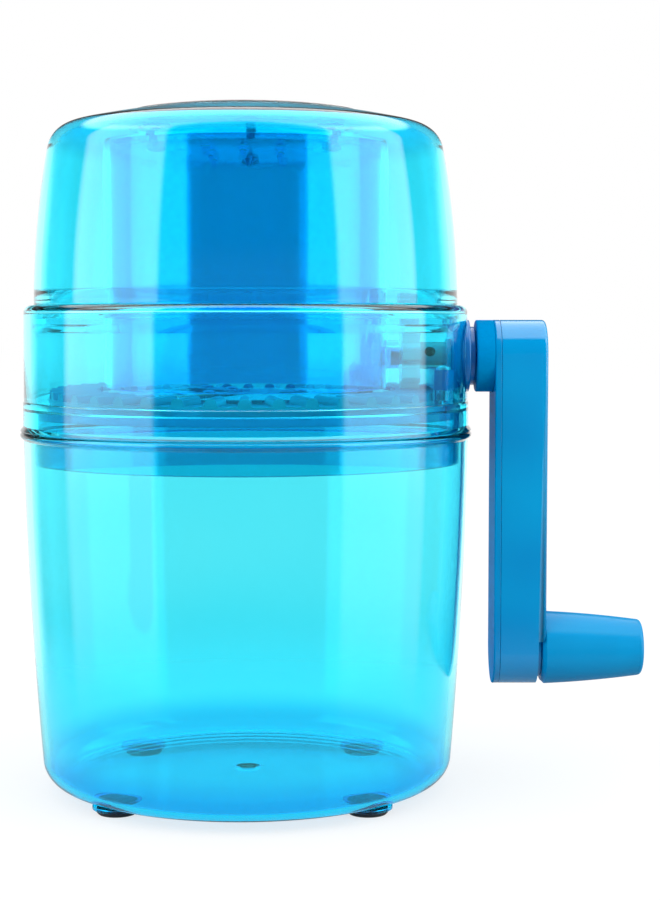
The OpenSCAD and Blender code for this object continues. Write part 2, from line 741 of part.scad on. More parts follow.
// Radius of the grip, u being 0 at the arm and 1 at the free end
function knob_r(u) = knob_big_r + (knob_end_r - knob_big_r) * u + knob_bulge * u * (1 - u);

module knob() {
    body_l = knob_l - knob_edge_r - knob_dome_h;
    end_r = knob_r(body_l / knob_l);
    color(deep_blue) translate([knob_x0, 0, knob_z]) rotate([0, 90, 0]) difference() {
        rotate_extrude(convexity = 4) polygon(concat([[0, 0], [knob_big_r - knob_foot_l, 0]],
            [for (i = [0 : steps]) let (x = knob_foot_l + (body_l - knob_foot_l) * i / steps)
                [knob_r(x / knob_l), x]],
            arc([end_r - knob_edge_r, body_l], knob_edge_r, 15, 90, 5), [[0, knob_l]]));
        translate([0, 0, -past]) cylinder(h = spindle_in + past + sleeve_gap, r = spindle_r + run_gap);
    }
}

module knob_spindle() {
    color(steel) difference() {
        along_x(spindle_x0 - clip_t, spindle_x1, spindle_r, knob_z);
        difference() {
            along_x(clip_x0 - washer_gap, clip_x0 + clip_t, spindle_r + past, knob_z);
            along_x(clip_x0 - clip_t, clip_x0 + 2 * clip_t, spindle_r - clip_depth, knob_z);
        }
    }
}

// A slotted retaining washer in the spindle's groove, inside the hollow arm
module knob_clip() {
    mouth = 2 * (spindle_r - 2 * clip_depth);
    color(steel) difference() {
        along_x(clip_x0, clip_x0 + clip_t - washer_gap, clip_r, knob_z);
        along_x(clip_x0 - past, clip_x0 + clip_t + past, spindle_r - clip_depth + run_gap, knob_z);
        translate([clip_x0 - past, -mouth / 2, knob_z]) cube([clip_t + 2 * past, mouth, clip_r + past]);
    }
}

// ---- Lid ----

// Outer radius of the lid's wall at height z
function lid_wall_r(z) = let (u = z - lid_z0) lid_r - lid_slope * u - u * u / (2 * lid_side_r);
// Height of the dome at radius r, an inset below its outer face
function lid_top_z(r, inset) = dome_z + sqrt((lid_top_r - inset) ^ 2 - r * r);

function lid_side(inset, z0) = [for (i = [0 : steps])
    let (z = z0 + (corner_top_z - z0) * i / steps) [lid_wall_r(z) - inset, z]];
function lid_dome_arc(inset, r) =
    arc([0, dome_z], lid_top_r - inset, 90, acos(r / (lid_top_r - inset)), steps);
function lid_corner(inset) = arc([corner_r, corner_z], lid_corner_r - inset, dome_a, corner_a, corner_steps);

module lid_dome() {
    bore_l = grip_screw_l - grip_t - chamber_wall + free_gap;
    ring_radii = [for (i = [0 : 4]) lid_ring_r - lid_ring_w * (1 - i / 4)];
    foot = [[lid_skirt_r, lid_z0], [lid_skirt_r, lid_z0 - lid_skirt_drop],
            [lid_skirt_r - lid_skirt_w, lid_z0 - lid_skirt_drop],
            [lid_skirt_r - lid_skirt_w, lid_z0 + lid_foot_h]];
    inner = concat(lid_side(lid_wall, lid_z0 + lid_foot_h), backwards(lid_corner(lid_wall)));
    color(clear_blue) difference() {
        union() {
            rotate_extrude(convexity = 6) polygon(concat(
                lid_dome_arc(0, corner_r + lid_corner_r * cos(dome_a)),
                lid_corner(0), backwards(lid_side(0, lid_z0)), foot, inner,
                backwards(lid_dome_arc(lid_wall, corner_r + (lid_corner_r - lid_wall) * cos(dome_a)))));
            rotate_extrude() polygon(concat(
                [for (r = ring_radii) [r, lid_top_z(r, lid_wall / 2)]],
                [for (r = backwards(ring_radii)) [r, lid_top_z(r, -lid_ring_h)]]));
            at_grip_screws() translate([0, 0, sleeve_z1])
                cylinder(h = boss_h + lid_wall / 2, r = boss_r, $fn = 48);
        }
        at_grip_screws() translate([0, 0, sleeve_z1 - past])
            cylinder(h = bore_l + past, r = grip_screw_r + run_gap, $fn = 32);
    }
}

module at_grip_screws() {
    for (i = [0 : 2]) rotate(90 + 120 * i) translate([grip_screw_circle_r, 0, 0]) children();
}

module lid_sleeve() {
    edge_r = 2;
    color(deep_blue) difference() {
        rotate_extrude(convexity = 4) polygon(concat(
            [[chamber_r, sleeve_z0]], arc([chamber_r - edge_r, sleeve_z1 - edge_r], edge_r, 0, 90, 6),
            [[0, sleeve_z1], [0, grip_z1], [chamber_in_r, grip_z1], [chamber_in_r, sleeve_z0]]));
        at_grip_screws() translate([0, 0, grip_z1 - past])
            cylinder(h = chamber_wall + 2 * past, r = grip_screw_r + run_gap, $fn = 32);
    }
}

module ice_grip() {
    claw_ring_r = grip_screw_circle_r - claw_in;
    rings = [[6, claw_ring_r - claw_step], [12, claw_ring_r]];
    color(deep_blue) difference() {
        union() {
            translate([0, 0, grip_z1 - grip_t]) cylinder(h = grip_t, r = grip_r);
            for (ring = rings) for (i = [0 : ring[0] - 1])
                rotate(30 + 360 * i / ring[0]) translate([ring[1], 0, grip_z1 - grip_t - claw_h])
                    cylinder(h = claw_h + washer_gap, r1 = claw_tip_r, r2 = claw_foot_r, $fn = 24);
        }
        at_grip_screws() translate([0, 0, grip_z1 - grip_t - past])
            cylinder(h = grip_t + 2 * past, r = grip_screw_r + run_gap, $fn = 32);
    }
}

module grip_screws() {
    color(steel) at_grip_screws() translate([0, 0, grip_z1 - grip_t]) rotate([180, 0, 0])
        screw_down(grip_screw_r, grip_screw_l, grip_head_r, grip_head_h);
}

container();
rubber_feet();
housing_shell();
ice_chamber();
retainer_ring();
shaft_bush();
bearing_bracket();
bracket_screws();
crown_gear();
blade_disc();
blades();
blade_screws();
crank_shaft();
pinion();
pinion_screw();
thrust_washer();
arm_cover();
crank_arm();
crank_screw();
knob();
knob_spindle();
knob_clip();
lid_dome();
lid_sleeve();
ice_grip();
grip_screws();
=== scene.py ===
import bmesh
import bpy
import numpy as np
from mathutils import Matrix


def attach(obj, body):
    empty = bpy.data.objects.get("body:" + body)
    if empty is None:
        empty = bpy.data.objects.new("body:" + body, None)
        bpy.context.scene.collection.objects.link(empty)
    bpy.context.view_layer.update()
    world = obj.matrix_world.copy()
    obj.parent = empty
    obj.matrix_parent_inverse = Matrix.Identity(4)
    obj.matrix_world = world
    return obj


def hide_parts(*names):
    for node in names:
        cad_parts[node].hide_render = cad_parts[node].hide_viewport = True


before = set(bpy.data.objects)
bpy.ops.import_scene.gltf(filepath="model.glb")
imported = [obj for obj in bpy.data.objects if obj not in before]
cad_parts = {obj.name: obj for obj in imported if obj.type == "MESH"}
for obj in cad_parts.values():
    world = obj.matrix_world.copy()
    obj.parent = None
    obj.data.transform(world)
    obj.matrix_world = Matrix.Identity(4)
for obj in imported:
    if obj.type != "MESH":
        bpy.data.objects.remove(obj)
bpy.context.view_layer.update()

# ---------------------------------------------------------------------------
# View: a long lens a little over half a metre in front of the crusher, level with the upper part of the gear
# housing and tipped down by about four degrees. Standard view transform, so colours stay as written.

scene = bpy.context.scene
scene.view_settings.view_transform = "Standard"
scene.cycles.max_bounces = 28
scene.cycles.transmission_bounces = 28
scene.cycles.glossy_bounces = 8
scene.cycles.transparent_max_bounces = 32

# Places are in metres and angles in degrees here; the lens and its frame are in millimetres.
eye_place = (0.0257, -0.574, 0.1435)
tipped_down = 3.9
lens_length, frame_height = 74.28, 36
eye = bpy.data.objects.new("product_camera", bpy.data.cameras.new("product_camera"))
scene.collection.objects.link(eye)
scene.camera = eye
eye.location = eye_place
eye.rotation_euler = (np.radians(90 - tipped_down), 0, 0)
eye.data.sensor_fit = "VERTICAL"
eye.data.sensor_height = frame_height
eye.data.lens = lens_length
eye.data.clip_start = 0.01

# ---------------------------------------------------------------------------
# Studio: a white floor and surround, and a tall softbox on each side. The lens sees plain white, also through
# clear plastic. What is mirrored is a studio: two bright side panels, white behind, one overhead, and dim on
# the lens side.

floor_reach = 9
floor_mesh = bpy.data.meshes.new("studio_floor")
floor_corners = [(floor_reach * x, floor_reach * y, 0) for x, y in ((-1, -1), (1, -1), (1, 1), (-1, 1))]
floor_mesh.from_pydata(floor_corners, [], [(0, 1, 2, 3)])
floor = bpy.data.objects.new("studio_floor", floor_mesh)
scene.collection.objects.link(floor)


def wired(tree, node, inputs):
    """Gives each named socket of a node a plain value or another node's output, and hands the node back."""
    for socket, value in inputs.items():
        if isinstance(value, bpy.types.NodeSocket):
            tree.links.new(value, node.inputs[socket])
        else:
            node.inputs[socket].default_value = value
    return node


def placed(tree, kind, inputs=None, **settings):
    """A new node of a kind, with its own settings and its sockets wired."""
    node = tree.nodes.new("ShaderNode" + kind)
    for setting, value in settings.items():
        setattr(node, setting, value)
    return wired(tree, node, inputs or {})


def worked_out(tree, operation, *values):
    """The result of a sum on numbers and other nodes' outputs."""
    return placed(tree, "Math", dict(enumerate(values)), operation=operation).outputs[0]


def eased(tree, value, low, high, at_low, at_high):
    """Goes smoothly from one level to another as the value goes from low to high."""
    levels = {"Value": value, "From Min": low, "From Max": high, "To Min": at_low, "To Max": at_high}
    return placed(tree, "MapRange", levels, interpolation_type="SMOOTHSTEP").outputs["Result"]


def mixed(tree, share, first, second, kind="RGBA"):
    """The first colour or number where the share is 0, the second where it is 1."""
    return placed(tree, "Mix", {"Factor": share, "A": first, "B": second}, data_type=kind).outputs["Result"]


def studio_paper(name, grey, seen, through, mirrored, fade):
    """Paper of one grey that also glows at three levels: straight to the lens, through plastic, and mirrored.
    Mirrored, it fades out between two distances from the axis, and the surround shows instead."""
    material = bpy.data.materials.new(name)
    material.use_nodes = True
    tree = material.node_tree
    tree.nodes.clear()
    path = placed(tree, "LightPath").outputs
    level = worked_out(tree, "MULTIPLY", path["Is Camera Ray"], seen)
    level = worked_out(tree, "MULTIPLY_ADD", path["Is Transmission Ray"], through, level)
    level = worked_out(tree, "MULTIPLY_ADD", path["Is Glossy Ray"], mirrored, level)
    dull = placed(tree, "BsdfDiffuse", {"Color": (grey, grey, grey, 1)})
    glow = placed(tree, "Emission", {"Strength": level})
    both = placed(tree, "AddShader", {0: dull.outputs[0], 1: glow.outputs[0]})
    spot = placed(tree, "TexCoord").outputs["Object"]
    distance = placed(tree, "VectorMath", {0: spot}, operation="LENGTH").outputs["Value"]
    gone = worked_out(tree, "MULTIPLY", eased(tree, distance, *fade, 0, 1), path["Is Glossy Ray"])
    open_air = placed(tree, "BsdfTransparent")
    paper = placed(tree, "MixShader", {0: gone, 1: both.outputs[0], 2: open_air.outputs[0]})
    placed(tree, "OutputMaterial", {"Surface": paper.outputs[0]})
    return material


floor_mesh.materials.append(
    studio_paper("white_paper", grey=0.3, seen=0.7, through=0.58, mirrored=0.25, fade=(0.1, 0.34)))

# A side panel fades in and out over two pairs of azimuths, in degrees from the lens side, positive to the
# right. What is mirrored inside the plastic sees a share of the panels past their far edges too.
left_panel = (-104, -99, -47, -43)
right_panel = (50, 54, 103, 107)
far_share = 0.36
# Each other pair says where a step starts and ends in the ray's direction, with y away from the lens and
# z up, or how strong the light is before and after it.
panel_foot, panel_light = (-0.16, -0.02), (1.1, 2.9)
panel_top = (0.6, 0.72)
backdrop_edge, backdrop_light = (0.62, 0.82), (0.08, 1.0)
backdrop_top, backdrop_share = (0.1, 0.2), (1, 0.15)
overhead_edge, overhead_light = (0.5, 0.6), (0, 3.0)
overhead_front = (-0.6, -0.44)
extra_through = 0.05


def studio_surround(name):
    """Plain white for the lens and for dull light. What is mirrored is the sum of the side panels and the
    greater of the backdrop and the overhead panel, each the product of eased steps in the ray's direction."""
    world = bpy.data.worlds.new(name)
    world.use_nodes = True
    tree = world.node_tree
    tree.nodes.clear()
    path = placed(tree, "LightPath").outputs
    way = placed(tree, "TexCoord").outputs["Generated"]
    x, y, z = placed(tree, "SeparateXYZ", {0: way}).outputs
    azimuth = worked_out(tree, "ARCTAN2", x, worked_out(tree, "MULTIPLY", y, -1.0))
    in_plastic = worked_out(tree, "GREATER_THAN", path["Transmission Depth"], 0.5)
    past_edge = worked_out(tree, "MULTIPLY", in_plastic, far_share)
    left, right = np.radians(left_panel), np.radians(right_panel)
    far_left = worked_out(tree, "MAXIMUM", past_edge, eased(tree, azimuth, *left[:2], 0, 1))
    far_right = worked_out(tree, "MAXIMUM", past_edge, eased(tree, azimuth, *right[2:], 1, 0))
    left_light = worked_out(tree, "MULTIPLY", far_left, eased(tree, azimuth, *left[2:], 1, 0))
    right_light = worked_out(tree, "MULTIPLY", far_right, eased(tree, azimuth, *right[:2], 0, 1))
    upward = worked_out(tree, "MULTIPLY", eased(tree, z, *panel_foot, *panel_light),
                        eased(tree, z, *panel_top, 1, 0))
    panels = worked_out(tree, "MULTIPLY", worked_out(tree, "ADD", left_light, right_light), upward)
    backdrop = worked_out(tree, "MULTIPLY", eased(tree, y, *backdrop_edge, *backdrop_light),
                          eased(tree, z, *backdrop_top, *backdrop_share))
    overhead = worked_out(tree, "MULTIPLY", eased(tree, z, *overhead_edge, *overhead_light),
                          eased(tree, y, *overhead_front, 0, 1))
    mirrored = worked_out(tree, "ADD", panels, worked_out(tree, "MAXIMUM", backdrop, overhead))
    white = worked_out(tree, "MULTIPLY_ADD", path["Is Transmission Ray"], extra_through, 1.0)
    turned_back = worked_out(tree, "GREATER_THAN", path["Glossy Depth"], 0.5)
    dull_only = worked_out(tree, "GREATER_THAN", path["Diffuse Depth"], 0.5)
    level = mixed(tree, dull_only, mixed(tree, turned_back, white, mirrored, "FLOAT"), 1.0, "FLOAT")
    sky = placed(tree, "Background", {"Color": (1, 1, 1, 1), "Strength": level})
    placed(tree, "OutputWorld", {"Surface": sky.outputs[0]})
    return world


scene.world = studio_surround("white_surround")


def softbox(name, azimuth, distance=1.3, height=0.6, wide=1.3, tall=1.5, radiance=1.6):
    """A tall rectangular lamp that faces the axis. Its azimuth is measured from the lens side, positive to
    the right, and its energy is four times its area times its radiance. It isn't mirrored itself."""
    turn = np.radians(azimuth)
    lamp = bpy.data.lights.new(name, "AREA")
    lamp.shape = "RECTANGLE"
    lamp.size, lamp.size_y = wide, tall
    lamp.energy = 4 * wide * tall * radiance
    box = bpy.data.objects.new(name, lamp)
    box.location = (distance * np.sin(turn), -distance * np.cos(turn), height)
    box.rotation_euler = (np.radians(90), 0, turn)
    box.visible_glossy = False
    box.visible_transmission = False
    scene.collection.objects.link(box)


softbox("left_softbox", -62)
softbox("right_softbox", 66)

# ---------------------------------------------------------------------------
# Container: one clear blue moulding with a gently bulging taper, a round bottom corner, a rim bead, a
# shallow gate mark in the middle of its floor, and four round bosses underneath for the rubber pads.

# Sizes are in millimetres from here on: radii about the part's axis, z from the table, x along the crank's.
corner_in, corner_z, corner_r = 55.8, 10.1, 7.5
cup_under_z = 2.6
cup_wall_t = 1.9
cup_foot_r, cup_taper, cup_bulge = 63.3, 4.9, 0.85
cup_rim_z = 109.7
bead_in, bead_r = 68.28, 1.0
rim_inner_corner = (66.5, 110.72)
gate_mark = [[6, 5.0], [2.6, 5.0], [2.2, 4.85], [1.8, 4.7], [0, 4.66]]
pad_offset = 36.77
boss_under_z, boss_r, boss_hole_r = 1.4, 7.3, 6.1


def rounded(corners, steps=9):
    """A closed outline from corners (x, y, fillet). Each corner gives way to the arc of its fillet that
    touches both of its sides; where the fillet is 0 the corner itself stays."""
    points = np.array([c[:2] for c in corners], float)
    fillet = np.array([c[2] if len(c) > 2 else 0.0 for c in corners], float)
    before, after = np.roll(points, 1, 0) - points, np.roll(points, -1, 0) - points
    long_a, long_b = np.linalg.norm(before, axis=1), np.linalg.norm(after, axis=1)
    before, after = before / long_a[:, None], after / long_b[:, None]
    half = np.arccos(np.clip((before * after).sum(1), -1, 1)) / 2
    cut = np.minimum(fillet / np.maximum(np.tan(half), 1e-9), 0.49 * np.minimum(long_a, long_b))
    fillet = cut * np.tan(half)
    middle = before + after
    middle /= np.maximum(np.linalg.norm(middle, axis=1), 1e-9)[:, None]
    centre = points + middle * (fillet / np.maximum(np.sin(half), 1e-9))[:, None]
    start, end = points + before * cut[:, None] - centre, points + after * cut[:, None] - centre
    a0, a1 = np.arctan2(start[:, 1], start[:, 0]), np.arctan2(end[:, 1], end[:, 0])
    turn = (a1 - a0 + np.pi) % (2 * np.pi) - np.pi
    angle = a0[:, None] + turn[:, None] * np.linspace(0, 1, steps)
    arcs = centre[:, None] + fillet[:, None, None] * np.stack([np.cos(angle), np.sin(angle)], -1)
    outline = np.where(fillet[:, None, None] > 0, arcs, points[:, None]).reshape(-1, 2)
    return outline[np.abs(outline - np.roll(outline, 1, 0)).max(1) > 1e-5]


def along(radius_at, z0, z1, count=60):
    """Points (radius_at(z), z) at even steps of z from z0 to z1."""
    z = np.linspace(z0, z1, count)
    return np.stack([radius_at(z), z], -1)


def arc(centre, radius, a0, a1, count):
    """Points of an arc, centre + radius (cos a, sin a), at even steps of a from a0 to a1 in degrees."""
    a = np.radians(np.linspace(a0, a1, count))
    return np.array(centre) + radius * np.stack([np.cos(a), np.sin(a)], -1)


def closed_mesh(name, points, faces, sharp=32):
    """A mesh object from points in millimetres and four-sided faces: doubles merged, faces turned outwards,
    smooth except at edges sharper than the given angle in degrees."""
    mesh = bpy.data.meshes.new(name)
    mesh.from_pydata((np.asarray(points).reshape(-1, 3) * 0.001).tolist(), [], np.asarray(faces).tolist())
    work = bmesh.new()
    work.from_mesh(mesh)
    bmesh.ops.remove_doubles(work, verts=work.verts, dist=2e-7)
    bmesh.ops.recalc_face_normals(work, faces=work.faces)
    work.to_mesh(mesh)
    work.free()
    mesh.shade_smooth()
    mesh.set_sharp_from_angle(angle=np.radians(sharp))
    piece = bpy.data.objects.new(name, mesh)
    scene.collection.objects.link(piece)
    return piece


def grid_faces(rows, columns):
    """Corner numbers of the four-sided cells of a grid that closes on itself both ways, by row and column."""
    i, j = np.meshgrid(np.arange(rows), np.arange(columns), indexing="ij")
    i1, j1 = (i + 1) % rows, (j + 1) % columns
    return np.stack([i * columns + j, i1 * columns + j, i1 * columns + j1, i * columns + j1], -1)


def turned(name, outline, around=192, axis="z", centre=(0, 0, 0)):
    """A turned solid: point (r, h) of a closed outline goes round to (r cos t, r sin t, h), at even steps of
    t. With axis x, h runs along x instead."""
    t = np.arange(around)[:, None] * 2 * np.pi / around
    r, h = outline[:, 0][None], outline[:, 1][None]
    ring = np.stack([r * np.cos(t), r * np.sin(t), h + 0 * t], -1)
    if axis == "x":
        ring = ring[..., [2, 0, 1]]
    return closed_mesh(name, ring + np.array(centre, float), grid_faces(around, len(outline)).reshape(-1, 4))


def joined(name, *pieces):
    """Several closed solids of one moulding, in one object."""
    work = bmesh.new()
    for piece in pieces:
        work.from_mesh(piece.data)
        bpy.data.objects.remove(piece)
    mesh = bpy.data.meshes.new(name)
    work.to_mesh(mesh)
    work.free()
    whole = bpy.data.objects.new(name, mesh)
    scene.collection.objects.link(whole)
    return whole


def noise(tree, scale, detail, stretch=None):
    """Noise in the object's own space, finer with scale. A stretch multiplies the three coordinates first, so
    the noise is finer along the axis with the largest of its numbers."""
    place = placed(tree, "TexCoord").outputs["Object"]
    if stretch:
        place = placed(tree, "Mapping", {"Vector": place, "Scale": stretch}).outputs["Vector"]
    return placed(tree, "TexNoise", {"Vector": place, "Scale": scale, "Detail": detail}).outputs["Fac"]


def moulded_ripple():
    """Slow waves, as a moulding's wall has where the plastic flowed and cooled, with finer orange peel on
    them: the height is the waves plus the peel times its depth, and the cloud is the waves alone."""
    group = bpy.data.node_groups.new("moulded_ripple", "ShaderNodeTree")
    for name, way, level in (("Wave Size", "INPUT", 30), ("Peel", "INPUT", 0.1),
                             ("Height", "OUTPUT", 0), ("Cloud", "OUTPUT", 0)):
        socket = group.interface.new_socket(name, in_out=way, socket_type="NodeSocketFloat")
        socket.default_value = level
    asked = group.nodes.new("NodeGroupInput").outputs
    wave = noise(group, asked["Wave Size"], 1)
    peel = noise(group, 900, 2)
    height = worked_out(group, "MULTIPLY_ADD", peel, asked["Peel"], wave)
    wired(group, group.nodes.new("NodeGroupOutput"), {"Height": height, "Cloud": wave})
    return group


ripple = moulded_ripple()


def rippled(tree, wave, peel):
    """The outputs of the moulded ripple in a material, with its own size of wave and depth of peel."""
    return placed(tree, "Group", {"Wave Size": wave, "Peel": peel}, node_tree=ripple).outputs


def raised(tree, height, strength, distance):
    """A normal bumped by a height, a step of 1 in it standing for a distance in metres."""
    bump = placed(tree, "Bump", {"Height": height, "Strength": strength, "Distance": distance})
    return bump.outputs["Normal"]


def fresh_finish(name):
    """A new material, its node tree and its Principled shader."""
    material = bpy.data.materials.new(name)
    material.use_nodes = True
    return material, material.node_tree, material.node_tree.nodes["Principled BSDF"]


def place_along(tree, axis):
    """How far along one axis a spot of the object lies, in metres."""
    return placed(tree, "SeparateXYZ", {0: placed(tree, "TexCoord").outputs["Object"]}).outputs[axis]


def clear_plastic(name, tint, deeper, roughness, ior=1.5, shade_and_thickness_zones=(), coat=0, coat_below=None):
    """See-through moulded plastic, whose tint wanders a little between two colours as the plastic flowed.
    Each zone (z0, z1, colour) is a height over which the tint goes to a deeper one, z0 being where it hasn't
    started to: some zones follow thicker plastic, and some are painted shade. Coat is the index of a clear
    coat, which may be there only below a height. For lamps, each of a wall's two faces passes the square root
    of its tint. Heights are in millimetres."""
    material, tree, skin = fresh_finish(name)
    z = place_along(tree, "Z")
    flow = rippled(tree, wave=30, peel=0.02)
    shade = mixed(tree, flow["Cloud"], (*tint, 1), (*deeper, 1))
    for z0, z1, zone_colour in shade_and_thickness_zones:
        share = eased(tree, z, min(z0, z1) / 1000, max(z0, z1) / 1000, float(z0 > z1), float(z1 > z0))
        shade = mixed(tree, share, shade, (*zone_colour, 1))
    wired(tree, skin, {
        "Base Color": shade, "Roughness": roughness, "IOR": ior, "Transmission Weight": 1,
        "Normal": raised(tree, flow["Height"], strength=0.02, distance=0.001)})
    if coat:
        wired(tree, skin, {"Coat Weight": 1, "Coat IOR": coat})
    if coat_below:
        fade_from, fade_to = (coat_below - 0.2) / 1000, coat_below / 1000
        wired(tree, skin, {"Coat Weight": eased(tree, z, fade_from, fade_to, 1, 0)})
    each_face = placed(tree, "Gamma", {"Color": shade, "Gamma": 0.5})
    through = placed(tree, "BsdfTransparent", {"Color": each_face.outputs["Color"]})
    in_shadow = placed(tree, "LightPath").outputs["Is Shadow Ray"]
    plastic = placed(tree, "MixShader", {0: in_shadow, 1: skin.outputs[0], 2: through.outputs[0]})
    wired(tree, tree.nodes["Material Output"], {"Surface": plastic.outputs[0]})
    return material


def cup_r(z):
    """The cup's outer radius: a straight taper plus a bulge of 4 b t (1 - t), where t goes from 0 at the
    bottom corner to 1 at the rim and b is the bulge's depth."""
    t = (z - corner_z) / (cup_rim_z - corner_z)
    return cup_foot_r + cup_taper * t + 4 * cup_bulge * t * (1 - t)


cup_outline = np.concatenate([
    [[0, cup_under_z]], arc((corner_in, corner_z), corner_r, -90, 0, 24), along(cup_r, 11, 108.2),
    arc((bead_in, cup_rim_z), bead_r, -70, 85, 14), [rim_inner_corner],
    along(lambda z: cup_r(z) - cup_wall_t, 110.3, 11),
    arc((corner_in, corner_z), corner_r - cup_wall_t, 0, -85, 20), gate_mark])
cup_wall = turned("cup_wall", cup_outline, 256)
pad_places = [(pad_offset * sx, pad_offset * sy, 0) for sx in (1, -1) for sy in (1, -1)]
boss_outline = rounded([
    (boss_hole_r, boss_under_z + 0.55), (boss_hole_r, boss_under_z, 0.2), (boss_r, boss_under_z, 0.4),
    (boss_r, boss_under_z + 1.15)])
bosses = [turned("boss", boss_outline, 64, centre=place) for place in pad_places]
cup = joined("clear_container", cup_wall, *bosses)
# Painted shade: the cup's tint goes deeper towards its bottom, where the shaded floor shows through. It also
# goes deeper over the thicker rim bead.
light_blue = clear_plastic(
    "clear_light_blue", (0.30, 0.925, 0.99), (0.26, 0.905, 0.985), roughness=0.01, ior=1.42, shade_and_thickness_zones=[
        (70, 22, (0.14, 0.85, 0.97)), (18, 8, (0.0, 0.6, 0.9)), (108.6, 109.2, (0.08, 0.72, 0.93))])
cup.data.materials.append(light_blue)
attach(cup, "container")
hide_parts("container")

# ---------------------------------------------------------------------------
# Rubber pads: four black pads pressed into the bosses under the container. They are dull moulded rubber
# with a fine grain, which looks a little grey where it catches the light.


def toned(tree, factor, low, high, start=0, end=1):
    """A colour that goes from low to high as the factor goes from start to end."""
    ramp = placed(tree, "ValToRGB", {"Fac": factor})
    for stop, position, colour in zip(ramp.color_ramp.elements, (start, end), (low, high)):
        stop.position, stop.color = position, (*colour, 1)
    return ramp.outputs["Color"]


def ranged(tree, value, low, high):
    """Goes evenly from low to high as the value goes from 0 to 1."""
    return placed(tree, "MapRange", {"Value": value, "To Min": low, "To Max": high}).outputs["Result"]


def pad_rubber(name, colour, roughness):
    """Dull black rubber with a fine grain; the grain lifts both its colour and its roughness."""
    material, tree, skin = fresh_finish(name)
    grain = noise(tree, 1400, 4)
    wired(tree, skin, {
        "Base Color": toned(tree, grain, [0.6 * c for c in colour], [1.7 * c for c in colour]),
        "Roughness": ranged(tree, grain, roughness - 0.08, roughness + 0.12),
        "Normal": raised(tree, grain, strength=0.25, distance=0.0001)})
    return material


def finish_node(node, material):
    """Gives a solid that keeps its own shape its finish."""
    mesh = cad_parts[node].data
    mesh.materials.clear()
    mesh.materials.append(material)


finish_node("rubber_feet", pad_rubber("black_pad_rubber", (0.012, 0.014, 0.018), 0.62))

# ---------------------------------------------------------------------------
# Gear housing: one clear blue moulding that sits on the container's rim, with a thin flared lip and a skirt
# inside it. It holds the gear floor and two screw posts, and its wall is bored for the shaft's bush.

skirt_in, skirt_out, skirt_foot_z = 63.9, 65.6, 101.3
lip_r, lip_z = 69.2, 110.86
band_in, band_top_r = 66, 67.9
mouth_r, housing_top_z = 63.1, 149
gear_floor_in, gear_floor_z = 61, 119.5
gear_floor_under_z = gear_floor_z - 2
shaft_z = 133.5
bore_r, bore_x0, bore_x1 = 11.3, 60, 72
post_r, post_hole_r = 2.6, 1.2
post_top_z, post_hole_z = 124.75, 120.3
post_circle_r, post_angle = 63.7, 23.87


def drill(name, radius, x0, x1, axis_z, around):
    """A round cutter along x, from x0 to x1."""
    outline = np.array([(0, x0), (radius, x0), (radius, x1), (0, x1)], float)
    return turned(name, outline, around, "x", (0, 0, axis_z))


def less(piece, cutter):
    """The piece with the cutter's space taken out of it."""
    take = piece.modifiers.new("less", "BOOLEAN")
    take.operation = "DIFFERENCE"
    take.solver = "EXACT"
    take.object = cutter
    bpy.context.view_layer.update()
    mesh = bpy.data.meshes.new_from_object(piece.evaluated_get(bpy.context.evaluated_depsgraph_get()))
    piece.modifiers.remove(take)
    piece.data = mesh
    bpy.data.objects.remove(cutter)
    return piece


housing_outline = rounded([
    (skirt_in, skirt_foot_z, 0.3), (skirt_out, skirt_foot_z, 0.4), (skirt_out, lip_z, 0.2),
    (lip_r - 0.05, lip_z, 0.15), (lip_r, 111.25, 0.2), (68.35, 112.4, 0.3), (68.3, gear_floor_z),
    (68.1, 119.75), (67.95, 141), (band_top_r, housing_top_z, 2.3), (mouth_r, housing_top_z, 0.5),
    (mouth_r, 147.4), (band_in, 146.8, 1.0), (band_in, gear_floor_z, 0.5), (gear_floor_in, gear_floor_z, 0.3),
    (gear_floor_in, gear_floor_under_z, 0.3), (skirt_in, gear_floor_under_z, 0.5)])
shell = less(turned("shell", housing_outline, 256), drill("bore", bore_r, bore_x0, bore_x1, shaft_z, 96))
post_foot_z = gear_floor_z + 0.05
post_outline = rounded([
    (post_hole_r, post_hole_z), (post_hole_r, post_top_z), (post_r, post_top_z, 0.3), (post_r, post_foot_z),
    (0, post_foot_z), (0, post_hole_z)])
post_places = [(post_circle_r * np.cos(a), post_circle_r * np.sin(a), 0)
               for a in np.radians([-post_angle, post_angle])]
posts = [turned("post", post_outline, 48, centre=place) for place in post_places]
housing = joined("gear_housing", shell, *posts)
skirt_blue = clear_plastic(
    "clear_skirt_blue", (0.15, 0.86, 0.97), (0.125, 0.835, 0.96), roughness=0.01, coat=1.9, coat_below=110.9,
    shade_and_thickness_zones=[(119.6, 119.0, (0.04, 0.76, 0.95)), (111.6, 110.8, (0.03, 0.68, 0.90))])
housing.data.materials.append(skirt_blue)
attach(housing, "housing")
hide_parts("housing_shell")

# ---------------------------------------------------------------------------
# Ice chamber: a deeper blue moulding, an open tube that the ice drops through, with a small forked boss that
# steadies the crank shaft's inner end. Its sloping deck hangs it on the housing's ledge; deck and ledge are
# one fainter piece, because they hardly show.

tube_in, tube_out = 41.5, 43.5
chamber_foot_z, chamber_top_z = 122.8, 151.7
shaft_hole_r = 3.05
fork_r, fork_z, fork_x0, fork_x1 = 5.2, 133.49, 43.3, 46.9
deck_in, deck_bend_r, deck_r = 43.52, 61, 62.4
deck_high_z, deck_under_z, deck_top_z = 151.1, 144.85, 146.3
ledge_in, ledge_r, ledge_z = 61.5, 65.95, 144.8


